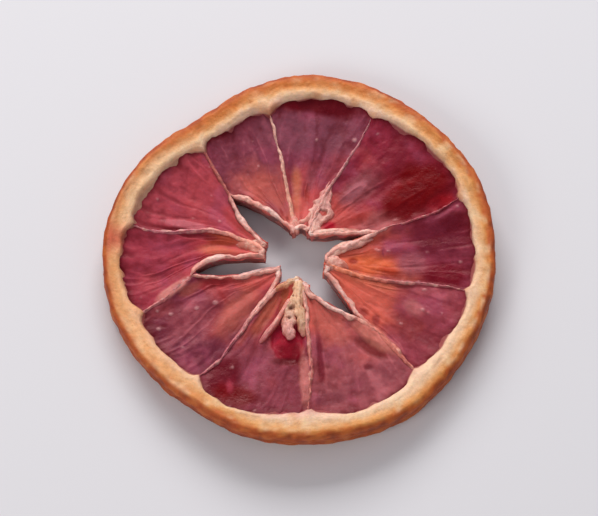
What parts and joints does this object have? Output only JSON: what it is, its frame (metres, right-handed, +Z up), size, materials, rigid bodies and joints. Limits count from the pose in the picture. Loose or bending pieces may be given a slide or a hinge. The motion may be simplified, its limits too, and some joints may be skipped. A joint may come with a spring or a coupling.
{
  "type": "dried blood orange slice",
  "caption": "Round slice of blood orange, dried until leathery, with sunken wine-red pulp inside a raised ring of pith and peel and a star-shaped hole at the core.",
  "frame": {"origin": "on the ground under the middle of the slice, which lies flat with its shown face up", "axes": "+Z up through the slice's thickness, +Y towards the side that is the top edge in the picture, +X to the right of it"},
  "size_m": [0.0628, 0.0626, 0.0065],
  "materials": {
    "pulp": "dried wine-red fruit pulp, leathery, with a soft gloss",
    "wall": "dried pale pinkish membrane, papery, satin",
    "rind": "dried cream pith under a thin orange peel, matte"
  },
  "bodies": {
    "root": {"dried_slice": "pulp"}
  },
  "joints": []
}
